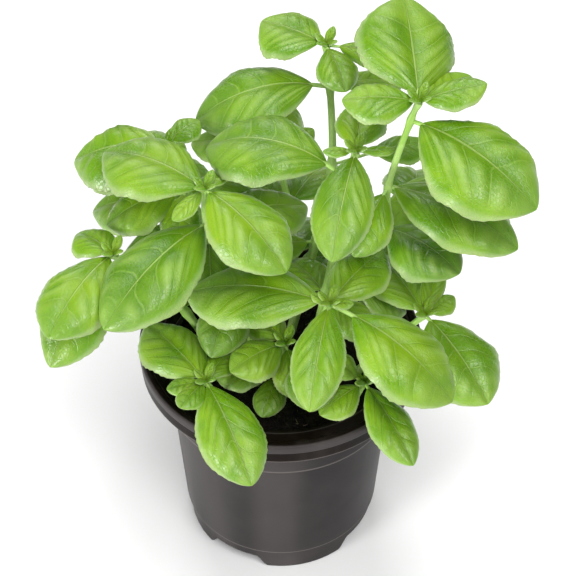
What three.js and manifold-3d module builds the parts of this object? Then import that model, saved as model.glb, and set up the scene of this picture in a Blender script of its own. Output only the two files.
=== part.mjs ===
import * as THREE from 'three';
import { mergeVertices } from 'three/addons/utils/BufferGeometryUtils.js';
import Module from 'manifold-3d';

// A young basil plant in its round plastic grower's pot. Millimetres, +Z up.
// The pot's axis is Z, it stands on z = 0, and its front is towards -Y.

const wasm = await Module();
wasm.setup();

// The pot: a thin formed shell with a wide rim, a collar, a tapered body and four feet.
const wall = 1.2;
const aroundPot = 40;
const rimTop = 114;
const ledgeTop = 112;
const skirtBottom = 104;
const rimRadius = 65;
const beadRound = 1;
const beadSide = 1.6;
const beadShoulder = 0.4;
const beadInner = 60.8;
const mouthRadius = 54;
const collarBottom = 83;
const collarRound = 1;
const shoulderTop = 80;
const shoulderRadius = 51;
const bandTop = 14;
const bandStep = 0.6;
const bandRadius = 45.2;
const footRadius = 43.8;
const footInner = 35;
const footCount = 4;
const archHeight = 8;
const archTopAngle = 30;
const archBottomAngle = 42;
const frontFootAngle = -74.5;
const archBack = 3;
const archBelow = 1;
const slotWidth = 3.4;
const slotInner = 20;
const slotOuter = 30;
const slotDeep = 24;
const openAbove = 1;

// The soil: a plug that fills the pot, with an uneven top.
const soilGap = 0.3;
const soilTop = 98.5;
const soilUneven = 1.3;
const soilWave = [0.16, 0.13];
const soilWaveStart = [0.7, -0.4];
const soilRings = [0, 18, 38];

// The leafy stems: a hexagonal stem, and leaves that are a thin stalk and a thin arched blade.
const stemSides = 6;
const stemSteps = 2;
const curveTension = 0.5;
const rootRadius = 2.2;
const shootTipRadius = 1.2;
const holeGap = 0.35;
const stalkRadius = 0.8;
const stalkOpening = 75;
const bladeThickness = 0.8;
const bladeCup = 36;
const bladeCrest = 0.035;
const bladeNarrowest = 0.6;
const basePower = 0.8;
const tipPower = 0.68;
const smallLeaf = 20;
const middleLeaf = 32;
const largeLeaf = 50;
const fewestRows = 3;
const smallColumns = 2;
const fullColumns = 4;

// Each leafy stem: the points that its stem grows through, from its root to its tip, and its leaves.
// A leaf is [joint, heading, rise, stalk, length, width, droop, roll]. joint counts the stem's points
// from 0. heading turns from +X towards +Y, rise is the slope at the stalk, droop is how far the blade
// has turned down by its tip, and roll tips its right half down, all in degrees.
const shoots = {
  tall_right_stem: {
    stem: [[14, 8, 88], [32, 6, 142], [46, 0, 185], [46, -4, 214], [54, -6, 253], [57, -6, 263]],
    leaves: [
      [1, 98, 5, 4, 30, 24, 45, 0],
      [1, 350, -8, 3, 26, 20, 40, 0],
      [2, 320, 22, 2, 40, 36, 52, 0],
      [2, 215, 25, 3, 20, 15, 40, 0],
      [3, 331, 15, 3, 61, 37, 48, 0],
      [3, 238, -22, 4, 30, 23, 30, 0],
      [5, 96, 30, 4, 48, 47, 25, 12],
      [4, 322, 10, 5, 62, 53, 48, 0],
      [5, 178, 14, 2, 30, 26, 30, 0],
      [5, 5, 25, 2, 27, 20, 20, 0],
      [5, 42, 5, 3, 28, 23, 25, 0],
    ],
  },
  tall_back_stem: {
    stem: [[2, 16, 88], [16, 29, 148], [23, 42, 184], [22, 56, 218], [20, 58, 240]],
    leaves: [
      [1, 20, 5, 4, 34, 26, 40, 0],
      [1, 195, 18, 4, 32, 24, 40, 0],
      [2, 20, 4, 20, 28, 20, 20, 0],
      [3, 190, 18, 8, 58, 43, 66, -2],
      [3, 20, 0, 6, 30, 22, 30, 0],
      [4, 150, 12, 3, 30, 35, 25, 0],
      [4, 345, 8, 6, 24, 16, 25, 0],
      [4, 288, 10, 3, 25, 20, 45, 0],
    ],
  },
  mid_right_stem: {
    stem: [[10, -8, 88], [20, -6, 150], [29, -4, 218], [32, 0, 230]],
    leaves: [
      [1, 121, 6, 3, 29, 25, 35, 0],
      [1, 318, 0, 3, 28, 22, 35, 0],
      [2, 160, 30, 11, 60, 46, 76, 0],
      [3, 82, 18, 3, 27, 24, 30, 0],
      [3, 258, 6, 3, 52, 28, 50, 0],
      [3, 180, 10, 2, 12, 7, 20, 0],
      [3, 3, 10, 2, 15, 7, 20, 0],
    ],
  },
  mid_left_stem: {
    stem: [[-10, -4, 88], [-18, 2, 150], [-31, -8, 196], [-32, -6, 214]],
    leaves: [
      [3, 150, 20, 2, 51, 42, 50, 0],
      [3, 312, 12, 3, 52, 38, 52, 0],
      [3, 50, 14, 2, 14, 9, 20, 0],
      [3, 226, -6, 2, 18, 10, 20, 0],
      [2, 228, 12, 3, 66, 43, 55, 0],
      [2, 25, 5, 5, 44, 34, 35, 0],
      [1, 250, 0, 4, 36, 26, 45, 0],
      [1, 62, -12, 4, 32, 22, 40, 0],
    ],
  },
  left_back_stem: {
    stem: [[-14, 12, 88], [-32, 20, 160], [-42, 24, 186], [-50, 28, 208]],
    leaves: [
      [3, 168, -1, 3, 44, 43, 40, 0],
      [3, 40, 34, 3, 17, 16, 50, 0],
      [2, 195, 0, 4, 36, 30, 45, 0],
      [2, 20, 0, 4, 32, 24, 35, 0],
      [2, 262, -10, 3, 26, 20, 40, 0],
      [1, 182, 2, 4, 38, 36, 40, 0],
      [1, 272, -18, 3, 30, 24, 45, 0],
    ],
  },
  left_wide_stem: {
    stem: [[-20, -12, 88], [-42, -8, 140], [-73, -9, 178]],
    leaves: [
      [2, 240, 16, 3, 50, 37, 50, 0],
      [2, 238, -8, 5, 53, 34, 45, 0],
      [2, 130, 0, 2, 25, 22, 30, 0],
      [1, 110, -5, 4, 34, 24, 40, 0],
    ],
  },
  front_left_stem: {
    stem: [[-20, -26, 88], [-33, -42, 132]],
    leaves: [
      [1, 128, 12, 3, 42, 31, 28, 0],
      [1, 294, 5, 3, 52, 32, 45, 0],
      [1, 62, 5, 2, 22, 16, 20, 0],
      [1, 238, 15, 2, 18, 14, 25, 0],
      [1, 200, 15, 2, 16, 12, 25, 0],
    ],
  },
  center_front_stem: {
    stem: [[4, -16, 88], [13, -28, 140], [21, -36, 175]],
    leaves: [
      [2, 163, 10, 4, 64, 42, 45, 0],
      [2, 260, 5, 3, 50, 25, 45, 0],
      [2, 52, 15, 3, 36, 28, 25, 0],
      [2, 326, 0, 12, 58, 43, 50, 0],
      [2, 160, 30, 1, 8, 6, 20, 0],
      [2, 350, 20, 1, 10, 7, 20, 0],
      [1, 322, 10, 7, 20, 16, 50, 0],
      [1, 272, 3, 4, 29, 25, 45, 0],
    ],
  },
  center_low_stem: {
    stem: [[-6, -28, 88], [0, -26, 120], [2, -25, 138]],
    leaves: [
      [2, 212, 14, 2, 27, 26, 40, 0],
      [2, 290, -15, 3, 24, 21, 40, 0],
      [2, 125, 8, 3, 24, 20, 35, 0],
      [1, 250, 5, 3, 22, 16, 35, 0],
      [1, 180, 10, 4, 26, 20, 35, 0],
    ],
  },
  right_front_stem: {
    stem: [[26, -8, 88], [48, -13, 124], [64, -15, 146]],
    leaves: [
      [2, 118, 15, 3, 38, 27, 30, 0],
      [2, 303, 5, 4, 48, 41, 45, 0],
      [2, 35, 15, 2, 15, 13, 20, 0],
      [2, 72, 32, 3, 22, 12, 20, 0],
    ],
  },
  front_right_stem: {
    stem: [[27, -27, 88], [37, -43, 132]],
    leaves: [
      [1, 299, 2, 3, 42, 22, 38, 0],
      [1, 215, 0, 3, 22, 19, 30, 0],
    ],
  },
  back_right_stem: {
    stem: [[28, 22, 88], [48, 30, 130], [62, 35, 160], [72, 38, 184]],
    leaves: [
      [3, 50, 28, 3, 40, 33, 62, -10],
      [3, 330, 10, 3, 32, 24, 50, 8],
      [3, 85, 35, 3, 18, 12, 30, 0],
      [3, 224, -5, 3, 34, 22, 40, 0],
      [2, 8, 15, 4, 44, 34, 62, -8],
      [2, 88, 15, 4, 40, 32, 65, 10],
      [1, 45, 10, 4, 44, 32, 58, 8],
      [1, 106, 4, 4, 32, 25, 52, -8],
    ],
  },
  back_mid_stem: {
    stem: [[4, 34, 88], [6, 40, 125], [4, 42, 158], [-2, 44, 188]],
    leaves: [
      [3, 95, 25, 3, 42, 34, 62, 8],
      [3, 163, 18, 3, 39, 25, 50, -8],
      [3, 40, 25, 3, 20, 14, 40, 0],
      [2, 60, 18, 4, 42, 34, 66, -10],
      [2, 136, 14, 4, 40, 32, 60, 8],
      [1, 85, 10, 5, 44, 32, 66, 5],
      [1, 175, 12, 4, 28, 22, 45, 0],
      [1, 10, 8, 4, 22, 18, 45, 0],
    ],
  },
  back_left_stem: {
    stem: [[-26, 26, 88], [-38, 37, 126], [-46, 43, 154], [-52, 45, 177]],
    leaves: [
      [3, 120, 12, 3, 40, 32, 62, -8],
      [3, 168, 4, 4, 36, 28, 56, 10],
      [3, 80, 25, 3, 19, 15, 40, 0],
      [2, 92, 20, 4, 44, 34, 66, 10],
      [2, 165, 14, 4, 43, 34, 62, -6],
      [1, 130, 10, 4, 46, 34, 66, 8],
      [1, 75, 8, 4, 34, 26, 55, -6],
      [1, 190, 8, 4, 38, 28, 55, 6],
    ],
  },
};

const potPlastic = new THREE.MeshStandardMaterial({ color: 0x3f3a3c, roughness: 0.42, metalness: 0 });
const pottingSoil = new THREE.MeshStandardMaterial({ color: 0x1d1714, roughness: 0.95, metalness: 0 });
const basilGreen = new THREE.MeshStandardMaterial({ color: 0x7fae32, roughness: 0.5, metalness: 0 });

const radians = THREE.MathUtils.degToRad;

// A closed mesh with shared vertices becomes a solid, turned outside out where it is inside out.
function solidOf(geometry) {
  geometry.deleteAttribute('normal');
  geometry.deleteAttribute('uv');
  const merged = mergeVertices(geometry, 1e-4);
  const vertProperties = new Float32Array(merged.attributes.position.array);
  const triVerts = new Uint32Array(merged.index.array);
  const [a, b, c] = [new THREE.Vector3(), new THREE.Vector3(), new THREE.Vector3()];
  let volume = 0;
  for (let i = 0; i < triVerts.length; i += 3) {
    a.fromArray(vertProperties, 3 * triVerts[i]);
    b.fromArray(vertProperties, 3 * triVerts[i + 1]);
    c.fromArray(vertProperties, 3 * triVerts[i + 2]);
    volume += a.dot(b.cross(c));
  }
  if (volume < 0) triVerts.reverse();
  return new wasm.Manifold(new wasm.Mesh({ numProp: 3, vertProperties, triVerts }));
}

// Only the largest body of a solid is kept, so no loose scrap is left.
function meshOf(name, solid, material) {
  const bodies = solid.decompose().sort((a, b) => b.volume() - a.volume());
  const { vertProperties, triVerts } = bodies[0].getMesh();
  const geometry = new THREE.BufferGeometry();
  geometry.setAttribute('position', new THREE.BufferAttribute(vertProperties, 3));
  geometry.setIndex(new THREE.BufferAttribute(triVerts, 1));
  const mesh = new THREE.Mesh(geometry, material);
  mesh.name = name;
  return mesh;
}

// Rings of points, each with as many points as the last, joined into one closed skin.
function loft(rings) {
  const count = rings[0].length;
  const position = [];
  const index = [];
  for (const ring of rings) for (const p of ring) position.push(p.x, p.y, p.z);
  for (let i = 0; i + 1 < rings.length; i += 1) {
    for (let j = 0; j < count; j += 1) {
      const k = (j + 1) % count;
      const [a, b, c, d] = [i * count + j, i * count + k, (i + 1) * count + k, (i + 1) * count + j];
      index.push(a, b, c, a, c, d);
    }
  }
  const last = (rings.length - 1) * count;
  for (let j = 1; j + 1 < count; j += 1) {
    index.push(0, j + 1, j, last, last + j, last + j + 1);
  }
  const geometry = new THREE.BufferGeometry();
  geometry.setAttribute('position', new THREE.Float32BufferAttribute(position, 3));
  geometry.setIndex(index);
  return geometry;
}

function revolve(profile) {
  const points = profile.map(([r, z]) => new THREE.Vector2(r, z));
  return new THREE.LatheGeometry(points, aroundPot).rotateX(Math.PI / 2);
}

// The arches between the feet, as wedges that are wider at the ground, grown by a margin.
function arches(margin) {
  const reach = rimRadius;
  const inner = footInner - archBack * margin;
  const top = archHeight + margin;
  let all = null;
  for (let i = 0; i < footCount; i += 1) {
    const middle = radians(frontFootAngle + (360 / footCount) * (i + 0.5));
    const spans = [[-archBelow, archBottomAngle], [0, archBottomAngle], [top, archTopAngle]];
    const rings = spans.map(([z, span]) => {
      const half = radians(span / 2) + margin / footRadius;
      return [[inner, -1], [reach, -1], [reach, 1], [inner, 1]].map(([r, sign]) => new THREE.Vector3(
        r * Math.cos(middle + sign * half), r * Math.sin(middle + sign * half), z));
    });
    const wedge = solidOf(loft(rings));
    all = all ? all.add(wedge) : wedge;
  }
  return all;
}

// The inside of the pot, drawn in by a gap: up from the feet's pockets to the mouth.
function insideProfile(gap, top) {
  const inset = wall + gap;
  const floor = archHeight + inset;
  return [
    [0, floor],
    [footInner + inset, floor],
    [footInner + inset, inset],
    [footRadius - inset, inset],
    [bandRadius - inset, bandTop],
    [shoulderRadius - inset, shoulderTop],
    [mouthRadius - inset, collarBottom],
    [mouthRadius - inset, top],
    [0, top],
  ];
}

// The under side of the pot's floor is raised inside its ring of feet.
function makePot() {
  const outside = solidOf(revolve([
    [0, archHeight],
    [footInner, archHeight],
    [footInner, 0],
    [footRadius, 0],
    [bandRadius, bandTop - bandStep],
    [bandRadius + bandStep, bandTop],
    [shoulderRadius, shoulderTop],
    [mouthRadius, collarBottom - collarRound],
    [mouthRadius, ledgeTop - wall],
    [rimRadius - wall, ledgeTop - wall],
    [rimRadius - wall, skirtBottom],
    [rimRadius, skirtBottom],
    [rimRadius, rimTop - beadSide],
    [rimRadius - beadRound, rimTop - beadShoulder],
    [(rimRadius + beadInner) / 2, rimTop],
    [beadInner + beadRound, rimTop - beadShoulder],
    [beadInner, ledgeTop],
    [0, ledgeTop],
  ]));
  const inside = solidOf(revolve(insideProfile(0, rimTop + openAbove))).subtract(arches(wall));
  let pot = outside.subtract(arches(0)).subtract(inside);
  for (let i = 0; i < footCount; i += 1) {
    const slot = new THREE.BoxGeometry(slotOuter - slotInner, slotWidth, slotDeep);
    slot.translate((slotOuter + slotInner) / 2, 0, archHeight);
    slot.rotateZ(radians(frontFootAngle + (360 / footCount) * (i + 0.5)));
    pot = pot.subtract(solidOf(slot));
  }
  return meshOf('pot', pot, potPlastic);
}

function soilHeight(x, y) {
  const across = Math.sin(soilWave[0] * x + soilWaveStart[0]);
  return soilTop + soilUneven * across * Math.cos(soilWave[1] * y + soilWaveStart[1]);
}

function makeSoil(holes) {
  const edge = mouthRadius - wall - soilGap;
  const top = [edge, ...[...soilRings].reverse()].map((r) => [r, soilTop]);
  const geometry = revolve([...insideProfile(soilGap, soilTop).slice(0, -2), ...top]);
  const position = geometry.attributes.position;
  for (let i = 0; i < position.count; i += 1) {
    if (position.getZ(i) > collarBottom + collarRound) {
      position.setZ(i, soilHeight(position.getX(i), position.getY(i)));
    }
  }
  const soil = solidOf(geometry).subtract(arches(wall + soilGap));
  return meshOf('soil', holes.reduce((left, hole) => left.subtract(hole), soil), pottingSoil);
}

// A stem through its points, thinner towards its tip, and drawn fatter by a margin for its hole.
function stemSolid(points, margin) {
  const through = points.map((p) => new THREE.Vector3(...p));
  const curve = new THREE.CatmullRomCurve3(through, false, 'catmullrom', curveTension);
  const steps = stemSteps * (points.length - 1);
  const rings = [];
  for (let i = 0; i <= steps; i += 1) {
    const centre = curve.getPoint(i / steps);
    const along = curve.getTangent(i / steps);
    const radius = margin + THREE.MathUtils.lerp(rootRadius, shootTipRadius, i / steps);
    if (margin && i === 0) centre.addScaledVector(along, -margin);
    const across = new THREE.Vector3(0, 1, 0).cross(along).normalize();
    const beside = along.clone().cross(across);
    rings.push(Array.from({ length: stemSides }, (_, k) => {
      const turn = (2 * Math.PI * k) / stemSides;
      return centre.clone()
        .addScaledVector(across, radius * Math.cos(turn))
        .addScaledVector(beside, radius * Math.sin(turn));
    }));
  }
  return solidOf(loft(rings));
}

function direction(heading, rise) {
  return new THREE.Vector3(
    Math.cos(rise) * Math.cos(heading), Math.cos(rise) * Math.sin(heading), Math.sin(rise));
}

// Where the midrib is at a share u of its length, with the blade's right hand and its upper side there.
function midrib(start, leaf, u) {
  const [, headingAngle, riseAngle, , length, , droopAngle, rollAngle] = leaf;
  const [heading, rise, droop, roll] = [headingAngle, riseAngle, droopAngle, rollAngle].map(radians);
  const slope = rise - droop * u;
  const out = (length * (Math.sin(rise) - Math.sin(slope))) / droop;
  const up = (length * (Math.cos(slope) - Math.cos(rise))) / droop;
  const point = new THREE.Vector3(out * Math.cos(heading), out * Math.sin(heading), up).add(start);
  const flat = new THREE.Vector3(Math.sin(heading), -Math.cos(heading), 0);
  const along = direction(heading, slope);
  const above = flat.clone().cross(along);
  const right = flat.clone().multiplyScalar(Math.cos(roll)).addScaledVector(above, -Math.sin(roll));
  const face = above.multiplyScalar(Math.cos(roll)).addScaledVector(flat, Math.sin(roll));
  return { point, right, face };
}

// The blade's half width at u: an oval, widest a little past its middle.
function halfWidth(leaf, u) {
  const widest = basePower / (basePower + tipPower);
  const oval = (x) => x ** basePower * (1 - x) ** tipPower;
  return Math.max(bladeNarrowest, ((leaf[5] / 2) * oval(u)) / oval(widest));
}

// A point of the blade: each half arches up from the midrib and then down to its margin.
function bladePoint(start, leaf, u, v, lift) {
  const { point, right, face } = midrib(start, leaf, u);
  const half = halfWidth(leaf, u);
  const cup = radians(bladeCup);
  const aside = (half * Math.sin(cup * v)) / cup;
  const down = (half * (1 - Math.cos(cup * v))) / cup;
  const swell = 4 * Math.abs(v) * (1 - Math.abs(v));
  const crest = bladeCrest * 2 * half * swell;
  return point.addScaledVector(right, aside).addScaledVector(face, lift + crest - down);
}

// A point of the round stalk, flattened a little at its sides so that the slice stays open.
function stalkPoint(centre, leaf, v, side) {
  const { right, face } = midrib(centre, leaf, 0);
  const turn = radians(stalkOpening * v);
  return centre.clone()
    .addScaledVector(right, stalkRadius * Math.sin(turn))
    .addScaledVector(face, side * stalkRadius * Math.cos(turn));
}

// A leaf is a loft of slices across it, from inside the stem along the stalk to the blade's tip.
// Each slice goes over the upper side from left to right and back below.
function leafSolid(root, leaf) {
  const start = root.clone().addScaledVector(direction(radians(leaf[1]), radians(leaf[2])), leaf[3]);
  const length = leaf[4];
  const columns = length < smallLeaf ? smallColumns : fullColumns;
  const rows = fewestRows + (length >= middleLeaf) + (length >= largeLeaf);
  const across = Array.from({ length: columns + 1 }, (_, j) => (2 * j) / columns - 1);
  const slice = (at) => [...across.map((v) => at(v, 1)), ...[...across].reverse().map((v) => at(v, -1))];
  const rings = [slice((v, side) => stalkPoint(root, leaf, v, side))];
  rings.push(slice((v, side) => stalkPoint(start, leaf, v, side)));
  for (let i = 1; i <= rows; i += 1) {
    rings.push(slice((v, side) => bladePoint(start, leaf, i / rows, v, (side * bladeThickness) / 2)));
  }
  return solidOf(loft(rings));
}

function makeShoot(name, { stem, leaves }) {
  const joints = stem.map((point) => new THREE.Vector3(...point));
  const solid = leaves.reduce((left, leaf) => left.add(leafSolid(joints[leaf[0]], leaf)), stemSolid(stem, 0));
  return meshOf(name, solid, basilGreen);
}

const plant = new THREE.Group();
plant.add(makePot());
plant.add(makeSoil(Object.values(shoots).map(({ stem }) => stemSolid(stem, holeGap))));
for (const [name, shoot] of Object.entries(shoots)) plant.add(makeShoot(name, shoot));

export default plant;
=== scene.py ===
# %% [markdown]
# # A potted basil plant
# A young basil bush in the thin dark plastic pot that it was raised in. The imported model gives
# every place and size. This lesson keeps its forms and makes them finer: a crisp formed pot,
# crumbly soil, and leaves with midribs, side veins and a quilted, softly glossy skin.
# Everything is in metres, with +Z up and the plant's front towards -Y.

# %% The frame
import math
import random

import bmesh
import bpy
from mathutils import Matrix, Vector, noise


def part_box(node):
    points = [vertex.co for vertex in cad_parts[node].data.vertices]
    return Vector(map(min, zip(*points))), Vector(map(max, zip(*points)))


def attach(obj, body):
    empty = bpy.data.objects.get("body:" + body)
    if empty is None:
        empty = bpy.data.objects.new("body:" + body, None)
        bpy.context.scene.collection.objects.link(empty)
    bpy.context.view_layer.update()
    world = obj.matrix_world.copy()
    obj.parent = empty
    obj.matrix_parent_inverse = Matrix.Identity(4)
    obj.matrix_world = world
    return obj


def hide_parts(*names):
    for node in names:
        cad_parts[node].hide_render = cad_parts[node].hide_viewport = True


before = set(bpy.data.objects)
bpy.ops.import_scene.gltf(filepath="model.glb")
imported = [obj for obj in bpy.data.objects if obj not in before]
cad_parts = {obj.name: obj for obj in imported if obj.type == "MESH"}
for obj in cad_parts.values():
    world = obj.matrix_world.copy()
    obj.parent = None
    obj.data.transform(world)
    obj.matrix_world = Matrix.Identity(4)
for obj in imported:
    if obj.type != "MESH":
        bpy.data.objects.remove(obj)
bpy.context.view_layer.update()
mm = 0.001

# %% [markdown]
# ## The camera
# The photograph looks down on the plant at about 46 degrees through a long lens, which keeps the
# pot's sides nearly parallel. A camera is a point, a target and a lens: the elevation sets how
# round the pot's mouth looks, and the distance sets how much the pot narrows towards its feet.

# %% Camera
elevation = math.radians(45.8)
distance = 1.0
target = Vector((3.4 * mm, 0, 147.8 * mm))
focal_pixels = 2231
image_pixels = 576
sensor_width = 36
scene = bpy.context.scene


def put(name, data):
    """A new object in the scene that holds this data."""
    holder = bpy.data.objects.new(name, data)
    scene.collection.objects.link(holder)
    return holder


camera_data = bpy.data.cameras.new("camera")
camera_data.sensor_width = sensor_width
camera_data.lens = focal_pixels / image_pixels * sensor_width
camera = put("camera", camera_data)
away = Vector((0, -math.cos(elevation), math.sin(elevation)))
camera.location = target + away * distance
camera.rotation_euler = (math.pi / 2 - elevation, 0, 0)
bpy.context.scene.camera = camera
print("lens", round(camera_data.lens, 1), "mm")

# %% [markdown]
# ## Node trees written as Python
# Geometry and shader trees are both made of nodes and links. Two small classes let a formula be
# written with + and *, and each operation becomes a Math node. The same vein formula can then
# raise the blade in a geometry tree and colour it in a shader tree.

# %% A node with its links
def add(tree, kind, inputs=None, **settings):
    """A new node. An input is linked where its value is a socket, and set where it is plain."""
    node = tree.nodes.new(kind)
    for name, value in settings.items():
        setattr(node, name, value)
    for key, value in (inputs or {}).items():
        value = getattr(value, "socket", value)
        if isinstance(value, bpy.types.NodeSocket):
            tree.links.new(value, node.inputs[key])
        else:
            node.inputs[key].default_value = value
    return node


def result(tree, kind, inputs=None, **settings):
    """The first output of a new node."""
    return add(tree, kind, inputs, **settings).outputs[0]


print("a node, or its result, is one call")


# %% Numbers and arrows
class Number:
    """A number that a tree works out."""

    def __init__(self, tree, socket):
        self.tree, self.socket = tree, socket

    def math(self, operation, other=None):
        inputs = {0: self} if other is None else {0: self, 1: other}
        return Number(self.tree, result(self.tree, "ShaderNodeMath", inputs, operation=operation))

    def __add__(self, other):
        return self.math("ADD", other)

    def __sub__(self, other):
        return self.math("SUBTRACT", other)

    def __mul__(self, other):
        return self.math("MULTIPLY", other)

    def __truediv__(self, other):
        return self.math("DIVIDE", other)

    def __pow__(self, other):
        return self.math("POWER", other)

    def __abs__(self):
        return self.math("ABSOLUTE")

    def __neg__(self):
        return self * -1

    __radd__ = __add__
    __rmul__ = __mul__

    def __rsub__(self, other):
        return -self + other

    def ramp(self, start, end):
        """0 at start and 1 at end, with a soft turn at both."""
        return Number(self.tree, result(self.tree, "ShaderNodeMapRange", {
            "Value": self, 1: start, 2: end}, interpolation_type="SMOOTHSTEP"))


class Arrow:
    """A direction or a place that a tree works out."""

    def __init__(self, tree, socket):
        self.tree, self.socket = tree, socket

    def math(self, operation, inputs):
        return Arrow(self.tree, result(self.tree, "ShaderNodeVectorMath", {0: self, **inputs},
                                       operation=operation))

    def __add__(self, other):
        return self.math("ADD", {1: other})

    def __mul__(self, amount):
        return self.math("SCALE", {"Scale": amount})


def arrow(tree, x, y, z):
    return Arrow(tree, result(tree, "ShaderNodeCombineXYZ", {0: x, 1: y, 2: z}))


def parts_of(tree, vector):
    """The three numbers of a direction or a place."""
    axes = add(tree, "ShaderNodeSeparateXYZ", {0: vector})
    return [Number(tree, axes.outputs[i]) for i in range(3)]


def cloudy(tree, place, scale, detail, roughness=0.5):
    """A soft random number that drifts from place to place."""
    return Number(tree, result(tree, "ShaderNodeTexNoise", {
        "Vector": place, "Scale": scale, "Detail": detail, "Roughness": roughness}))


print("numbers and arrows ready")


# %% An empty tree
def new_tree(name, kind, inputs, outputs):
    """A tree with its named sockets, each (label, kind) or (label, kind, default).

    It comes with the sockets that bring its inputs in and that take its outputs out.
    """
    tree = bpy.data.node_groups.new(name, kind)
    for way, sockets in (("INPUT", inputs), ("OUTPUT", outputs)):
        for label, holds, *default in sockets:
            socket = tree.interface.new_socket(label, in_out=way, socket_type="NodeSocket" + holds)
            if default:
                socket.default_value = default[0]
    start, end = tree.nodes.new("NodeGroupInput"), tree.nodes.new("NodeGroupOutput")
    return tree, start.outputs, end.inputs


print("trees are made from a list of sockets")

# %% [markdown]
# ## Effects that several finishes share
# Plastic, soil, leaf and stem all have a colour that drifts from place to place and a fine
# unevenness that breaks up the light. Each effect is one shader group, placed in every material
# with its own scale and strength, so a change to the effect reaches all of them.

# %% Shared shader groups
def mixed(tree, share, first, second):
    """A colour between two others. Sockets 6 and 7 of a Mix node are its colours."""
    return add(tree, "ShaderNodeMix", {"Factor": share, 6: first, 7: second},
               data_type="RGBA").outputs[2]


drift, taken, given = new_tree(
    "Colour drift", "ShaderNodeTree",
    [("Vector", "Vector"), ("Scale", "Float"), ("First", "Color"), ("Second", "Color")],
    [("Color", "Color"), ("Value", "Float")])
share = cloudy(drift, taken["Vector"], taken["Scale"], 3, 0.55).ramp(0.35, 0.65)
drifted = mixed(drift, share, taken["First"], taken["Second"])
drift.links.new(drifted, given["Color"])
drift.links.new(share.socket, given["Value"])

relief, taken, given = new_tree(
    "Fine relief", "ShaderNodeTree",
    [("Vector", "Vector"), ("Scale", "Float"), ("Depth", "Float"), ("Height", "Float")],
    [("Normal", "Vector")])
pits = cloudy(relief, taken["Vector"], taken["Scale"], 2)
height = pits * 0.25 + Number(relief, taken["Height"])
raised = result(relief, "ShaderNodeBump", {
    "Height": height, "Distance": taken["Depth"], "Strength": 1.0})
relief.links.new(raised, given["Normal"])
print("groups", drift.name, "and", relief.name)


# %% A material to start from
def material(name, roughness, **settings):
    """A new material with its tree, its main shader and its Object coordinates."""
    made = bpy.data.materials.new(name)
    made.use_nodes = True
    shader = made.node_tree.nodes["Principled BSDF"]
    shader.inputs["Roughness"].default_value = roughness
    for label, value in settings.items():
        shader.inputs[label.replace("_", " ")].default_value = value
    place = add(made.node_tree, "ShaderNodeTexCoord").outputs["Object"]
    return made, made.node_tree, shader, place


def drifting(tree, place, scale, first, second):
    """The colour drift group placed in a material, between two colours of its own."""
    return add(tree, "ShaderNodeGroup", {
        "Vector": place, "Scale": scale, "First": (*first, 1), "Second": (*second, 1)},
        node_tree=drift)


def pitted(tree, place, scale, depth, height):
    """The normal of the fine relief group placed in a material, with its own depth."""
    return add(tree, "ShaderNodeGroup", {
        "Vector": place, "Scale": scale, "Depth": depth, "Height": height},
        node_tree=relief).outputs["Normal"]


def layered(tree, colour, layers):
    """A colour with others laid over it in turn, each (the share that it covers, colour)."""
    for share, over in layers:
        colour = mixed(tree, share, colour, (*over, 1))
    return colour


def feed(tree, shader, **values):
    """Links what a material works out to the inputs of its main shader."""
    for label, value in values.items():
        tree.links.new(getattr(value, "socket", value), shader.inputs[label.replace("_", " ")])


print("material helpers ready")

# %% [markdown]
# ## The floor and the light
# A white floor under a pale sky throws light back up under the leaves, so shadows stay open and
# green. A wide lamp overhead and one high on the right lay the calm shine on top of each leaf, a
# low one on the left reaches the pot below the leaves, and one behind lifts their far edges.
# One bright sky would be simpler, but it lights every side alike and flattens the leaves.

# %% Floor
floor_half = 3.0
floor_mesh = bpy.data.meshes.new("floor")
floor_mesh.from_pydata(
    [(x * floor_half, y * floor_half, 0) for x, y in ((-1, -1), (1, -1), (1, 1), (-1, 1))],
    [], [(0, 1, 2, 3)])
floor = put("floor", floor_mesh)
paper, tree, shader, place = material("white_paper", 0.9)
shade = drifting(tree, place, 1.5, (0.92, 0.92, 0.92), (0.94, 0.94, 0.94))
feed(tree, shader, Base_Color=shade.outputs["Color"])
floor.data.materials.append(paper)
print("floor", 2 * floor_half, "m wide")

# %% Light
sky_strength = 0.22
scene.view_settings.view_transform = "Standard"
sky = bpy.data.worlds.new("studio")
sky.use_nodes = True
background = sky.node_tree.nodes["Background"]
background.inputs["Color"].default_value = (1, 1, 1, 1)
background.inputs["Strength"].default_value = sky_strength
scene.world = sky


def soft_lamp(name, place, size, power):
    """A square lamp that faces the middle of the plant."""
    lamp = bpy.data.lights.new(name, "AREA")
    lamp.size = size
    lamp.energy = power
    holder = put(name, lamp)
    holder.location = place
    holder.rotation_euler = (target - Vector(place)).to_track_quat("-Z", "Y").to_euler()


soft_lamp("overhead", (0.1, 0.1, 2.0), 1.1, 17)
soft_lamp("back", (-0.3, 1.4, 1.4), 1.0, 13)
soft_lamp("front_left", (-1.3, -1.1, 0.5), 0.6, 23)
soft_lamp("front_right", (0.45, -1.1, 1.75), 0.9, 26)

# %% [markdown]
# ## The pot
# The real pot is one sheet of dark plastic, formed over a mould: a wide rim with a rolled bead
# and a short skirt, a collar, a tapered body with a low ring line, and four feet with arches
# between them. A turned profile gives all of it but the feet. They could be cut with Booleans,
# but a formed sheet has no sharp cuts, so the lowest rings are lifted between the feet instead.

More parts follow.
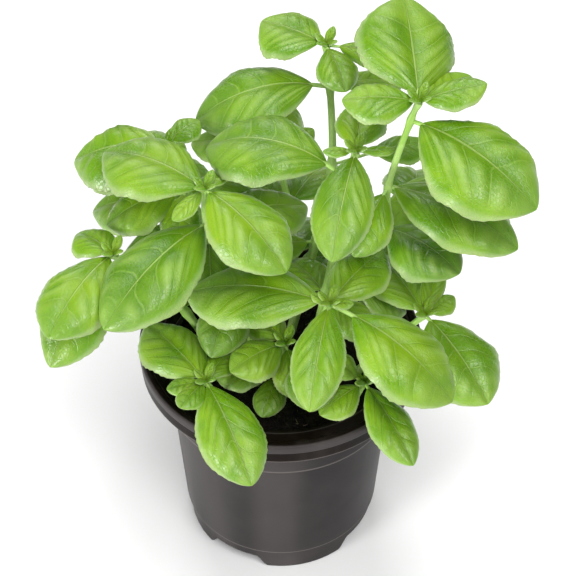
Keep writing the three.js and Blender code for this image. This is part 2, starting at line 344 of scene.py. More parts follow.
# %% Measures from the frame
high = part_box("pot")[1]
rim_radius = high.x
rim_top = high.z
wall = 1.2 * mm
ledge_top = rim_top - 2 * mm
skirt_bottom = rim_top - 10.8 * mm
skirt_lean = 0.1 * mm
bead_bottom = rim_top - 4.4 * mm
bead_step = 0.5 * mm
bead_inner = rim_radius - 4.2 * mm
mouth_radius = 54 * mm
collar_bottom = 83 * mm
shoulder_top = 80 * mm
shoulder_radius = 51 * mm
ring_top = 14 * mm
ring_step = 0.9 * mm
ring_radius = 45.2 * mm
foot_radius = 43.8 * mm
foot_inner = 35 * mm
foot_count = 4
front_foot = math.radians(-74.5)
arch_height = 8 * mm
arch_half = math.radians(21)
arch_flat = math.radians(14)
around_pot = 300
print("rim", round(2 * rim_radius / mm, 1), "mm wide, pot", round(rim_top / mm, 1), "mm high")


# %% A profile with rounded corners
most_of_span = 0.48


def rounded(corners, steps=4):
    """A profile of (radius, height, rounding) corners, each drawn as a short curve."""
    line = []
    for i, (r, z, rounding) in enumerate(corners):
        corner = Vector((r, z))
        if rounding == 0 or i in (0, len(corners) - 1):
            line.append(corner)
            continue
        before = Vector(corners[i - 1][:2]) - corner
        after = Vector(corners[i + 1][:2]) - corner
        start = before.normalized() * min(rounding, most_of_span * before.length)
        end = after.normalized() * min(rounding, most_of_span * after.length)
        for step in range(steps + 1):
            t = step / steps
            line.append(corner + start * (1 - t) ** 2 + end * t ** 2)
    return line


def divided(line, longest):
    """The same line with its long spans cut into even steps."""
    out = [line[0]]
    for a, b in zip(line, line[1:]):
        steps = max(1, math.ceil((b - a).length / longest))
        out += [a.lerp(b, (k + 1) / steps) for k in range(steps)]
    return out


print("a profile corner becomes", len(rounded([(0, 0, 0), (1, 0, 1), (1, 1, 0)])) - 2, "points")

# %% A skin turned about the axis
on_axis = 1e-6


def turned(name, lines, around):
    """A closed skin turned about the Z axis, from (line, bend) pairs. bend places each point."""
    shell = bmesh.new()
    rings = []
    for line, bend in lines:
        for point in line:
            if point.x < on_axis:
                rings.append([shell.verts.new((0, 0, bend(0, point.y, 0)[1]))])
                continue
            ring = []
            for k in range(around):
                angle = math.tau * k / around
                r, z = bend(point.x, point.y, angle)
                ring.append(shell.verts.new((r * math.cos(angle), r * math.sin(angle), z)))
            rings.append(ring)
    for near, far in zip(rings, rings[1:]):
        for k in range(around):
            corners = [near[k % len(near)], far[k % len(far)],
                       far[(k + 1) % len(far)], near[(k + 1) % len(near)]]
            shell.faces.new(list(dict.fromkeys(corners)))
    bmesh.ops.recalc_face_normals(shell, faces=shell.faces)
    mesh = bpy.data.meshes.new(name)
    shell.to_mesh(mesh)
    shell.free()
    mesh.shade_smooth()
    return put(name, mesh)


def triangles(piece):
    return sum(len(face.vertices) - 2 for face in piece.data.polygons)


print("a full turn of the pot has", around_pot, "steps")


# %% The feet and the arches between them
def between_feet(angle):
    """1 in the middle of an arch and 0 on a foot."""
    step = math.tau / foot_count
    off = abs((angle - front_foot) % step - step / 2)
    t = min(1, max(0, (arch_half - off) / (arch_half - arch_flat)))
    return t * t * (3 - 2 * t)


def foot_lift(thickness):
    """Lifts the lowest rings of a skin between the feet. The inner skin lies a wall above."""
    def bend(r, z, angle):
        reach = arch_height + thickness
        if z >= reach or r < foot_inner - 1 * mm:
            return r, z
        rise = between_feet(angle) * (reach - z)
        lean = (ring_radius - foot_radius) / ring_top if r > (foot_inner + foot_radius) / 2 else 0
        return r + rise * lean, z + rise
    return bend


print("arches", round(math.degrees(2 * arch_half)), "degrees wide")


# %% The pot's profile
def inside_line(gap):
    """The pot's inner skin from the middle of its floor to its mouth, drawn in by a gap."""
    inset = wall + gap
    return [
        (0, arch_height + inset, 0),
        (foot_inner + inset, arch_height + inset, 1 * mm),
        (foot_inner + inset, inset, 1 * mm),
        (foot_radius - inset, inset, 1.5 * mm),
        (ring_radius - inset, ring_top, 1 * mm),
        (shoulder_radius - inset, shoulder_top, 1.2 * mm),
        (mouth_radius - inset, collar_bottom, 1.2 * mm),
    ]


outer_line = [
    (0, arch_height, 0),
    (foot_inner, arch_height, 1 * mm),
    (foot_inner, 0, 1 * mm),
    (foot_radius, 0, 1.6 * mm),
    (ring_radius, ring_top - ring_step, 0.5 * mm),
    (ring_radius + ring_step, ring_top, 0.4 * mm),
    (shoulder_radius, shoulder_top, 0.8 * mm),
    (mouth_radius, collar_bottom, 0.9 * mm),
    (mouth_radius, ledge_top - wall, 1 * mm),
    (rim_radius - wall, ledge_top - wall, 1 * mm),
    (rim_radius - wall - bead_step - skirt_lean, skirt_bottom, 0.4 * mm),
    (rim_radius - bead_step - skirt_lean, skirt_bottom, 0.3 * mm),
    (rim_radius - bead_step, bead_bottom - 0.4 * mm, 0.3 * mm),
    (rim_radius, bead_bottom, 0.8 * mm),
    (rim_radius, rim_top - 0.4 * mm, 1.4 * mm),
    (rim_radius - 1.6 * mm, rim_top, 0.8 * mm),
    (bead_inner + 0.6 * mm, rim_top, 1 * mm),
    (bead_inner - 0.4 * mm, ledge_top, 0.8 * mm),
    (mouth_radius - wall, ledge_top, 1.2 * mm),
]
longest_step = 4 * mm
outer_skin = divided(rounded(outer_line), longest_step)
inner_skin = divided(rounded(inside_line(0)[::-1]), longest_step)
pot = turned("pot_shell", [(outer_skin, foot_lift(0)), (inner_skin, foot_lift(wall))], around_pot)
print("pot", triangles(pot), "triangles")

# %% Drain slots in the pot's floor
slot_width = 3.4 * mm
slot_inner = 20 * mm
slot_outer = 30 * mm


def applied(piece):
    """Makes what a piece's modifiers show its own plain mesh, and removes them."""
    depsgraph = bpy.context.evaluated_depsgraph_get()
    mesh = bpy.data.meshes.new_from_object(
        piece.evaluated_get(depsgraph), preserve_all_data_layers=True, depsgraph=depsgraph)
    piece.modifiers.clear()
    piece.data = mesh
    return mesh


cutters = bmesh.new()
for i in range(foot_count):
    corners = bmesh.ops.create_cube(cutters, size=1)["verts"]
    bmesh.ops.scale(cutters, verts=corners,
                    vec=(slot_outer - slot_inner, slot_width, 3 * arch_height))
    bmesh.ops.translate(cutters, verts=corners,
                        vec=((slot_outer + slot_inner) / 2, 0, arch_height))
    bmesh.ops.rotate(cutters, verts=corners, cent=(0, 0, 0), matrix=Matrix.Rotation(
        front_foot + math.tau / foot_count * (i + 0.5), 3, "Z"))
cutter_mesh = bpy.data.meshes.new("slots")
cutters.to_mesh(cutter_mesh)
cutters.free()
cutter = put("slots", cutter_mesh)
cut = pot.modifiers.new("slots", "BOOLEAN")
cut.object = cutter
cut.operation = "DIFFERENCE"
cut.solver = "EXACT"
whole = len(pot.data.polygons)
applied(pot)
bpy.data.objects.remove(cutter)
print("faces before and after the slots", whole, len(pot.data.polygons))

# %% [markdown]
# ## Dark formed plastic
# The sheet is nearly black, with a dull satin skin. The rim above the skirt's lower edge is
# painted darker and browner, a painted shade for the shade on the skirt, and the roll of its
# bead is painted lighter, a painted highlight. Handling leaves wide soft rubs down the body and
# dust near the feet. A pale thread along the lower edges and two pale rings on the rim are
# painted highlights. Each mark is a mask from the height, the radius or a noise, so a painted
# picture and its unwrapping are not needed.

# %% Masks for the plastic
plastic, tree, shader, place = material("pot_plastic", 0.4, Specular_IOR_Level=0.06)
body = drifting(tree, place, 22, (0.029, 0.026, 0.0265), (0.041, 0.0365, 0.037))
east, north, up = parts_of(tree, place)
from_axis = (east * east + north * north).math("SQRT")
# Painted shade: the rim above the skirt's lower edge is made darker and browner, for the shade
# that lies on the skirt.
rim_painted_shade = up.ramp(skirt_bottom - 0.6 * mm, skirt_bottom + 0.2 * mm)
# Painted highlight: the roll of the bead is made lighter, for the sky that its top reflects.
bead = (up.ramp(bead_bottom - 0.3 * mm, bead_bottom + 0.3 * mm)
        * from_axis.ramp(rim_radius - 1.6 * mm, rim_radius - 0.8 * mm))
streaks = result(tree, "ShaderNodeMapping", {"Vector": place, "Scale": (1, 1, 0.08)})
rubbed = cloudy(tree, streaks, 90, 4).ramp(0.5, 0.8)
elsewhere = result(tree, "ShaderNodeMapping", {"Vector": streaks, "Location": (0.1, 0, 0)})
handled = cloudy(tree, elsewhere, 26, 1).ramp(0.42, 0.68) * (1 - rim_painted_shade)
dusty = (1 - up.ramp(0, 22 * mm)) * Number(tree, body.outputs["Value"])


def threads(distance, lines, width):
    """1 on each of these lines and 0 beside them."""
    return sum((1 - abs(distance - line).ramp(0.1 * mm, width) for line in lines),
               start=distance * 0)


# Painted highlight: a pale thread along the ring, the collar's lower edge and the skirt's lower
# edge, for the light that these edges catch.
edge_painted_highlight = threads(
    up, [ring_top + 0.2 * mm, collar_bottom + 0.6 * mm, skirt_bottom + 0.2 * mm], 0.7 * mm)
# Painted highlight: pale rings at the bead's inner edge and beside the mouth, for the light that
# these edges catch.
rim_painted_highlight = (threads(from_axis, [bead_inner - 0.2 * mm, mouth_radius + 1 * mm], 0.5 * mm)
             * up.ramp(ledge_top - 0.6 * mm, ledge_top - 0.2 * mm))
print("the masks take", len(tree.nodes), "nodes")

# %% Pot material
# The rim's painted shade, the bead's painted highlight and the painted highlights on the edges are
# laid over the body here.
coloured = layered(tree, body.outputs["Color"], [
    (rim_painted_shade, (0.007, 0.004, 0.003)),
    (bead, (0.060, 0.053, 0.053)),
    (handled * 0.55, (0.080, 0.071, 0.070)),
    (rubbed * 0.1 + dusty * 0.18 + edge_painted_highlight * 0.7 + rim_painted_highlight * 0.25, (0.16, 0.14, 0.13)),
])
feed(tree, shader, Base_Color=coloured, Roughness=rubbed * 0.12 + dusty * 0.2 + 0.36,
     Normal=pitted(tree, place, 900, 0.06 * mm, rubbed * 0.2))
pot.data.materials.clear()
pot.data.materials.append(plastic)
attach(pot, "root")
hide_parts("pot")
print("pot finished in", plastic.name)

# %% [markdown]
# ## The soil
# Peaty potting soil fills the pot to a finger's width below the rim. Its top is a little uneven,
# and it is all small crumbs with a few pale root and straw fibres. The plug itself is turned
# from the pot's inner line. A displaced skin alone looks like melted tar, so loose crumbs
# are scattered over it by a geometry tree, which also keeps the same crumbs in each run.

# %% The plug
soil_gap = 0.3 * mm
soil_top = 98.5 * mm
soil_uneven = 1.3 * mm
soil_edge = mouth_radius - wall - soil_gap
soil_rings = 40
around_soil = 160


def soil_height(x, y):
    """The slow waves of the packed soil, and small clods on them."""
    waves = math.sin(0.16 * x / mm + 0.7) * math.cos(0.13 * y / mm - 0.4)
    clods = noise.fractal(Vector((x, y, 0)) * 160, 1.0, 2.0, 3) * 0.9 * mm
    return soil_top + soil_uneven * waves + clods


def lie_uneven(r, z, angle):
    return r, soil_height(r * math.cos(angle), r * math.sin(angle))


sides = divided(rounded(inside_line(soil_gap)), longest_step)
top = [Vector((soil_edge * (1 - k / soil_rings), soil_top)) for k in range(soil_rings + 1)]
soil = turned("soil_fill", [(sides, foot_lift(wall + soil_gap)), (top, lie_uneven)], around_soil)
print("soil plug", triangles(soil), "triangles")

# %% The top of the soil, chosen in a tree
scatter, taken, given = new_tree("Soil crumbs", "GeometryNodeTree", [
    ("Geometry", "Geometry"),
    ("Crumbs per area", "Float", 260000.0),
    ("Fibres per area", "Float", 14000.0),
    ("Crumb size", "Float", 0.9 * mm),
    ("Fibre length", "Float", 7 * mm),
    ("Seed", "Int", 4),
    ("Soil material", "Material"),
    ("Fibre material", "Material"),
], [("Geometry", "Geometry")])
level_enough = 0.3
facing = parts_of(scatter, result(scatter, "GeometryNodeInputNormal"))
standing = parts_of(scatter, result(scatter, "GeometryNodeInputPosition"))
on_top = (facing[2].math("GREATER_THAN", level_enough)
          * standing[2].math("GREATER_THAN", collar_bottom))
print("the tree has", len(scatter.interface.items_tree), "sockets")

# %% Crumbs and fibres scattered by the tree
full_turns = (6.28, 6.28, 6.28)
crumb_seed = 11
fibre_seed = 23
fibre_radius = 0.12 * mm
unevenness = 1.6 * mm


def by_chance(least, most, seed):
    return result(scatter, "FunctionNodeRandomValue", {0: least, 1: most, "Seed": seed},
                  data_type="FLOAT_VECTOR")


def real(tree, geometry):
    return result(tree, "GeometryNodeRealizeInstances", {"Geometry": geometry})


def sprinkled(density, shape, smallest, largest, seed):
    """Copies of one small shape, each turned and sized by chance."""
    points = result(scatter, "GeometryNodeDistributePointsOnFaces", {
        "Mesh": taken["Geometry"], "Selection": on_top, "Density": density,
        "Seed": taken["Seed"]})
    return real(scatter, result(scatter, "GeometryNodeInstanceOnPoints", {
        "Points": points, "Instance": shape, "Rotation": by_chance((0, 0, 0), full_turns, seed),
        "Scale": by_chance(smallest, largest, seed + 1)}))


def shifted(geometry, offset):
    return result(scatter, "GeometryNodeSetPosition", {"Geometry": geometry, "Offset": offset})


crumb = result(scatter, "GeometryNodeMeshIcoSphere", {
    "Radius": taken["Crumb size"], "Subdivisions": 1})
fibre = result(scatter, "GeometryNodeMeshCylinder", {
    "Vertices": 5, "Side Segments": 4, "Radius": fibre_radius,
    "Depth": taken["Fibre length"]})
crumbs = sprinkled(taken["Crumbs per area"], crumb, (0.5, 0.5, 0.4), (1.9, 1.5, 1.2),
                   crumb_seed)
fibres = sprinkled(taken["Fibres per area"], fibre, (0.8, 0.8, 0.4), (1.4, 1.4, 1.1),
                   fibre_seed)
stirred = add(scatter, "ShaderNodeTexNoise", {"Scale": 260.0, "Detail": 0}).outputs[1]
uneven = Arrow(scatter, stirred).math("SUBTRACT", {1: (0.5, 0.5, 0.5)}) * unevenness
crumbs = shifted(crumbs, uneven)
fibres = result(scatter, "GeometryNodeStoreNamedAttribute", {
    "Geometry": shifted(fibres, uneven * 2.2), "Name": "fibre", "Value": 1.0})
print("crumbs and fibres take", len(scatter.nodes), "nodes")


# %% The end of a tree
def together(tree, *parts):
    joined = add(tree, "GeometryNodeJoinGeometry")
    for part in parts:
        tree.links.new(part, joined.inputs[0])
    return joined.outputs[0]


def end(tree, given, geometry, first, second, mark):
    """Makes all of it real in the first material, with what is marked in the second."""
    coated = result(tree, "GeometryNodeSetMaterial", {
        "Geometry": real(tree, geometry), "Material": first})
    marked = Number(tree, result(tree, "GeometryNodeInputNamedAttribute", {"Name": mark}))
    last = result(tree, "GeometryNodeSetMaterial", {
        "Geometry": coated, "Selection": marked.math("GREATER_THAN", 0.5), "Material": second})
    tree.links.new(last, given[0])


end(scatter, given, together(scatter, fibres, crumbs, taken["Geometry"]),
    taken["Soil material"], taken["Fibre material"], "fibre")
print("scatter tree has", len(scatter.nodes), "nodes")

# %% [markdown]
# ## Damp soil and dry fibres
# Damp peat is close to black, rough and hardly shines. The fibres are old straw, here brown and
# there paler. Both take their drifting colour from the shared group. One flat colour each would
# be simpler, but then the crumbs would run together.

# %% Soil materials
peat, tree, shader, place = material("potting_soil", 0.85, Specular_IOR_Level=0.25)
earth = drifting(tree, place, 300, (0.003, 0.0022, 0.0018), (0.012, 0.008, 0.006))
grit = Number(tree, earth.outputs["Value"]) * 0.3
feed(tree, shader, Base_Color=earth.outputs["Color"],
     Normal=pitted(tree, place, 1400, 0.4 * mm, grit))
straw, tree, shader, place = material("soil_fibre", 0.7)
dry = drifting(tree, place, 200, (0.05, 0.032, 0.02), (0.16, 0.11, 0.07))
feed(tree, shader, Base_Color=dry.outputs["Color"])
print("materials", peat.name, "and", straw.name)


# %% The soil grown
def grow(piece, tree, values):
    """Runs a geometry tree once on a piece, and keeps only the materials that it used."""
    modifier = piece.modifiers.new(tree.name, "NODES")
    modifier.node_group = tree
    for item in tree.interface.items_tree:
        if item.in_out == "INPUT" and item.name in values:
            modifier[item.identifier] = values[item.name]
    mesh = applied(piece)
    used = sorted({face.material_index for face in mesh.polygons})
    finishes = [mesh.materials[i] for i in used]
    numbers = [used.index(face.material_index) for face in mesh.polygons]
    mesh.materials.clear()
    for finish in finishes:
        mesh.materials.append(finish)
    mesh.polygons.foreach_set("material_index", numbers)


grow(soil, scatter, {"Soil material": peat, "Fibre material": straw})
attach(soil, "root")
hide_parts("soil")
print("soil", triangles(soil), "triangles in", [m.name for m in soil.data.materials])

# %% [markdown]
# ## How the basil grows
# Young basil stems are square, and leaves come off them in pairs, each pair across from the one
# below. A leaf is a short stalk and an oval blade. The blade arches down along its length, each
# half is a shallow vault, and the skin is puffed up between the side veins. The table gives each
# stem in millimetres and degrees: first the points that it grows through, then a row for each
# leaf (joint, heading, rise, stalk, length, width, droop, roll).

# %% The stems and their leaves
shoots = {
    "tall_right_stem": [
        [[14, 8, 88], [32, 6, 142], [46, 0, 185], [46, -4, 214], [54, -6, 253], [57, -6, 263]],
        [1, 98, 5, 4, 30, 24, 45, 0],
        [1, 350, -8, 3, 26, 20, 40, 0],
        [2, 320, 22, 2, 40, 36, 52, 0],
        [2, 215, 25, 3, 20, 15, 40, 0],
        [3, 331, 15, 3, 61, 37, 48, 0],
        [3, 238, -22, 4, 30, 23, 30, 0],
        [5, 96, 30, 4, 48, 47, 25, 12],
        [4, 322, 10, 5, 62, 53, 48, 0],
        [5, 178, 14, 2, 30, 26, 30, 0],
        [5, 5, 25, 2, 27, 20, 20, 0],
        [5, 42, 5, 3, 28, 23, 25, 0],
    ],
    "tall_back_stem": [
        [[2, 16, 88], [16, 29, 148], [23, 42, 184], [22, 56, 218], [20, 58, 240]],
        [1, 20, 5, 4, 34, 26, 40, 0],
        [1, 195, 18, 4, 32, 24, 40, 0],
        [2, 20, 4, 20, 28, 20, 20, 0],
        [3, 190, 18, 8, 58, 43, 66, -2],
        [3, 20, 0, 6, 30, 22, 30, 0],
        [4, 150, 12, 3, 30, 35, 25, 0],
        [4, 345, 8, 6, 24, 16, 25, 0],
        [4, 288, 10, 3, 25, 20, 45, 0],
    ],
    "mid_right_stem": [
        [[10, -8, 88], [20, -6, 150], [29, -4, 218], [32, 0, 230]],
        [1, 121, 6, 3, 29, 25, 35, 0],
        [1, 318, 0, 3, 28, 22, 35, 0],
        [2, 160, 30, 11, 60, 46, 76, 0],
        [3, 82, 18, 3, 27, 24, 30, 0],
        [3, 258, 6, 3, 52, 28, 50, 0],
        [3, 180, 10, 2, 12, 7, 20, 0],
        [3, 3, 10, 2, 15, 7, 20, 0],
    ],
    "mid_left_stem": [
        [[-10, -4, 88], [-18, 2, 150], [-31, -8, 196], [-32, -6, 214]],
        [3, 150, 22, 2, 51, 42, 50, 0],
        [3, 312, 12, 3, 52, 38, 52, 0],
        [3, 50, 14, 2, 14, 9, 20, 0],
        [3, 226, -6, 2, 18, 10, 20, 0],
        [2, 228, 12, 3, 66, 43, 55, 0],
        [2, 25, 5, 5, 44, 34, 35, 0],
        [1, 250, 0, 4, 36, 26, 45, 0],
        [1, 62, -12, 4, 32, 22, 40, 0],
    ],
    "left_back_stem": [
        [[-14, 12, 88], [-32, 20, 160], [-42, 24, 186], [-50, 28, 208]],
        [3, 168, -3, 3, 44, 43, 40, 0],
        [3, 40, 34, 3, 17, 16, 50, 0],
        [2, 195, 0, 4, 36, 30, 45, 0],
        [2, 20, 0, 4, 32, 24, 35, 0],
        [2, 262, -10, 3, 26, 20, 40, 0],
        [1, 182, 2, 4, 38, 36, 40, 0],
        [1, 272, -18, 3, 30, 24, 45, 0],
    ],
    "left_wide_stem": [
        [[-20, -12, 88], [-42, -8, 140], [-73, -9, 178]],
        [2, 240, 16, 3, 50, 37, 50, 0],
        [2, 238, -8, 5, 53, 34, 45, 0],
        [2, 130, 0, 2, 25, 22, 30, 0],
        [1, 110, -5, 4, 34, 24, 40, 0],
    ],
    "front_left_stem": [
        [[-20, -26, 88], [-33, -42, 132]],
        [1, 128, 12, 3, 42, 31, 28, 0],
        [1, 294, 5, 3, 52, 32, 45, 0],
        [1, 62, 5, 2, 22, 16, 20, 0],
        [1, 238, 15, 2, 18, 14, 25, 0],
        [1, 200, 15, 2, 16, 12, 25, 0],
    ],
    "center_front_stem": [
        [[4, -16, 88], [13, -28, 140], [21, -36, 175]],
        [2, 163, 10, 4, 64, 42, 45, 0],
        [2, 260, 5, 3, 50, 25, 45, 0],
        [2, 52, 15, 3, 36, 28, 25, 0],
        [2, 326, 0, 12, 58, 43, 50, 0],
        [2, 160, 30, 1, 8, 6, 20, 0],
        [2, 350, 20, 1, 10, 7, 20, 0],
        [1, 322, 10, 7, 20, 16, 50, 0],
        [1, 272, 3, 4, 29, 25, 45, 0],
    ],
    "center_low_stem": [
        [[-6, -28, 88], [0, -26, 120], [2, -25, 138]],
        [2, 212, 14, 2, 27, 26, 40, 0],
        [2, 290, -15, 3, 24, 21, 40, 0],
        [2, 125, 8, 3, 24, 20, 35, 0],
        [1, 250, 5, 3, 22, 16, 35, 0],
        [1, 180, 10, 4, 26, 20, 35, 0],
    ],
    "right_front_stem": [
        [[26, -8, 88], [48, -13, 124], [64, -15, 146]],
        [2, 118, 15, 3, 38, 27, 30, 0],
        [2, 303, 5, 4, 48, 41, 45, 0],
        [2, 35, 15, 2, 15, 13, 20, 0],
        [2, 72, 32, 3, 22, 12, 20, 0],
    ],
    "front_right_stem": [
        [[27, -27, 88], [37, -43, 132]],
        [1, 299, 2, 3, 42, 22, 38, 0],
        [1, 215, 0, 3, 22, 19, 30, 0],
    ],
    "back_right_stem": [
        [[28, 22, 88], [48, 30, 130], [62, 35, 160], [72, 38, 184]],
        [3, 50, 28, 3, 40, 33, 62, -10],
        [3, 330, 10, 3, 32, 24, 50, 8],
        [3, 85, 35, 3, 18, 12, 30, 0],
        [3, 224, -5, 3, 34, 22, 40, 0],
        [2, 8, 15, 4, 44, 34, 62, -8],
        [2, 88, 15, 4, 40, 32, 65, 10],
        [1, 45, 10, 4, 44, 32, 58, 8],
        [1, 106, 4, 4, 32, 25, 52, -8],
    ],
    "back_mid_stem": [
        [[4, 34, 88], [6, 40, 125], [4, 42, 158], [-2, 44, 188]],
        [3, 95, 25, 3, 42, 34, 62, 8],
        [3, 163, 18, 3, 39, 25, 50, -8],
        [3, 40, 25, 3, 20, 14, 40, 0],
        [2, 60, 18, 4, 42, 34, 66, -10],
        [2, 136, 14, 4, 40, 32, 60, 8],
        [1, 85, 10, 5, 44, 32, 66, 5],
        [1, 175, 12, 4, 28, 22, 45, 0],
        [1, 10, 8, 4, 22, 18, 45, 0],
    ],
    "back_left_stem": [
        [[-26, 26, 88], [-38, 37, 126], [-46, 43, 154], [-52, 45, 177]],
        [3, 120, 12, 3, 40, 32, 62, -8],
        [3, 168, 4, 4, 36, 28, 56, 10],
        [3, 80, 25, 3, 19, 15, 40, 0],
        [2, 92, 20, 4, 44, 34, 66, 10],
        [2, 165, 14, 4, 43, 34, 62, -6],
        [1, 130, 10, 4, 46, 34, 66, 8],
        [1, 75, 8, 4, 34, 26, 55, -6],
        [1, 190, 8, 4, 38, 28, 55, 6],
    ],
}
print(len(shoots), "stems,", sum(len(rows) - 1 for rows in shoots.values()), "leaves")

# %% [markdown]
# ## Growing lines
# Each stem starts as a simple object: an edge path for the stem and one loose point for each
# leaf. The points carry what a leaf needs to know as attributes, so that one geometry tree can
# grow all of them. Attributes are the way to hand different values to each copy.

# %% A smooth line through a stem's points
steps_per_span = 12


def grown_through(points):
    """An even smooth line through the points. It leaves both ends as straight as it came."""
    line = [2 * points[0] - points[1], *points, 2 * points[-1] - points[-2]]
    out = []
    for before, a, b, after in zip(line, line[1:], line[2:], line[3:]):
        start, end = (b - before) / 2, (after - a) / 2
        for step in range(steps_per_span):
            t = step / steps_per_span
            out.append(a * (2 * t**3 - 3 * t**2 + 1) + start * (t**3 - 2 * t**2 + t)
                       + b * (3 * t**2 - 2 * t**3) + end * (t**3 - t**2))
    return [*out, points[-1]]


print("each stem path has", steps_per_span, "steps between two joints")

# %% Stem paths and leaf points
root_radius = 2.2 * mm
tip_radius = 1.2 * mm
joint_swelling = 0.6 * mm
joint_length = 3 * mm
small_leaf = 30
bud_leaves = [(60, 9, 5), (150, 7, 4), (240, 9, 5), (330, 7, 4)]
bud_rise = 62
bud_stalk = 0.5
bud_droop = 50
chance = random.Random(12)


def leaf_direction(heading, rise):
    return Vector((math.cos(rise) * math.cos(heading), math.cos(rise) * math.sin(heading),
                   math.sin(rise)))


def leaf_facts(joints, row, young):
    """One leaf of the table in metres and radians, with its own share of chance."""
    joint, heading, rise, stalk, length, width, droop, roll = row
    heading, rise, droop, roll = (math.radians(angle) for angle in (heading, rise, droop, roll))
    start = joints[joint] + leaf_direction(heading, rise) * stalk * mm
    return {"start": start, "heading": heading, "rise": rise, "stalk": stalk * mm,
            "length": length * mm, "width": width * mm, "droop": droop, "roll": roll,
            "young": young, "chance": chance.random()}


def stem_object(name, points, rows):
    """The stem's path and its leaf points, with an attribute for each fact."""
    joints = [Vector(point) * mm for point in points]
    path = grown_through(joints)
    last = len(joints) - 1
    leaves = []
    for row in rows:
        # Leaves near the tip and small leaves are fresh. About 1 is the freshest.
        young = 0.2 + 0.5 * row[0] / last + 0.3 * chance.random()
        leaves.append(leaf_facts(joints, row, young + (0.15 if row[4] < small_leaf else 0)))
    for heading, length, width in bud_leaves:
        bud = (last, heading, bud_rise, bud_stalk, length, width, bud_droop, 0)
        leaves.append(leaf_facts(joints, bud, 1.1))
    mesh = bpy.data.meshes.new(name)
    edges = [(i, i + 1) for i in range(len(path) - 1)]
    mesh.from_pydata(path + [leaf["start"] for leaf in leaves], edges, [])
    for fact in leaves[0]:
        kind = "FLOAT_VECTOR" if fact == "start" else "FLOAT"
        stored = mesh.attributes.new(fact, kind, "POINT")
        for i, leaf in enumerate(leaves):
            if fact == "start":
                stored.data[len(path) + i].vector = leaf[fact]
            else:
                stored.data[len(path) + i].value = leaf[fact]
    thickness = mesh.attributes.new("thickness", "FLOAT", "POINT")
    for i, point in enumerate(path):
        radius = root_radius + (tip_radius - root_radius) * i / (len(path) - 1)
        nearest = min((point - joint).length for joint in joints[1:])
        swelling = joint_swelling * math.exp(-(nearest / joint_length) ** 2)
        thickness.data[i].value = radius + swelling
    return put(name, mesh)


print("each tip gets", len(bud_leaves), "bud leaves")

# %% [markdown]
# ## The veins
# Side veins leave the midrib at a slant and bend towards the tip, and the lowest pair runs
# almost along the margin. If g is how far a vein of the base has moved along at a distance
# from the midrib, then the vein that crosses a point left the midrib at (along - g) / (1 - g).
# Counted in veins, this number is whole on a vein and ends in a half on the puffed skin.

# %% Vein formula for both kinds of tree
vein_pairs = 4.6
vein_slant = 0.33
vein_bend = 0.33
vein_stagger = 0.35


def vein_count(along, across):
    spread = abs(across)
    g = spread * vein_slant + spread * spread * vein_bend
    stagger = (across * 3).ramp(-0.5, 0.5) * vein_stagger
    return (along - g) / (1 - g) * vein_pairs + stagger


def has_veins(along, count):
    """0 at the tip and beside the lowest vein along the margin, and 1 on the rest of the blade."""
    return count.ramp(-0.8, -0.2) * (1 - along.ramp(0.72, 0.95))


def off_vein(count):
    """0 on a vein and 0.5 halfway to the next."""
    return 0.5 - abs((count + 20).math("FRACT") - 0.5)


print("about", vein_pairs, "side veins on each half")

# %% [markdown]
# ## One tree that grows a leafy stem
# Two flat grids, one facing up and one facing down, are placed on each leaf point and made real.
# Then every grid point is moved to its place on an arched blade. A bent and textured leaf could
# also be modelled once and copied, but the formula gives each leaf its own arch and size.

# %% The tree's inputs
leafy, taken, given = new_tree("Leafy stem", "GeometryNodeTree", [
    ("Geometry", "Geometry"),
    ("Blade thickness", "Float", 0.6 * mm),
    ("Cup", "Float", math.radians(36)),
    ("Crest", "Float", 0.48),
    ("Puff", "Float", 0.052),
    ("Wave", "Float", 0.055),
    ("Scallop", "Float", 0.02),
    ("Lump", "Float", 0.12),
    ("Rolled margin", "Float", 0.05),
    ("Rib radius", "Float", 0.95 * mm),
    ("Rows", "Int", 43),
    ("Columns", "Int", 25),
    ("Rib sides", "Int", 9),
    ("Leaf material", "Material"),
    ("Stem material", "Material"),
], [("Geometry", "Geometry")])
print("the tree has", len(leafy.interface.items_tree), "sockets")


# %% Grids on every leaf point
def size(label):
    return Number(leafy, taken[label])


def fact(name, kind="FLOAT"):
    return Number(leafy, result(leafy, "GeometryNodeInputNamedAttribute", {"Name": name},
                                data_type=kind))


def store(geometry, name, value):
    return result(leafy, "GeometryNodeStoreNamedAttribute",
                  {"Geometry": geometry, "Name": name, "Value": value})


def flat_grid(rows, columns):
    """A grid one wide and one long, with its own two coordinates."""
    grid = result(leafy, "GeometryNodeMeshGrid", {
        "Size X": 1.0, "Size Y": 1.0, "Vertices X": taken[rows],
        "Vertices Y": taken[columns]})
    x, y = parts_of(leafy, result(leafy, "GeometryNodeInputPosition"))[:2]
    return grid, x + 0.5, y * 2


def on_each_leaf(shape):
    is_leaf = fact("length").math("GREATER_THAN", 0.0)
    return real(leafy, result(leafy, "GeometryNodeInstanceOnPoints", {
        "Points": taken["Geometry"], "Selection": is_leaf, "Instance": shape}))


def moved(geometry, place):
    return result(leafy, "GeometryNodeSetPosition", {"Geometry": geometry, "Position": place})


print("grid helpers ready")


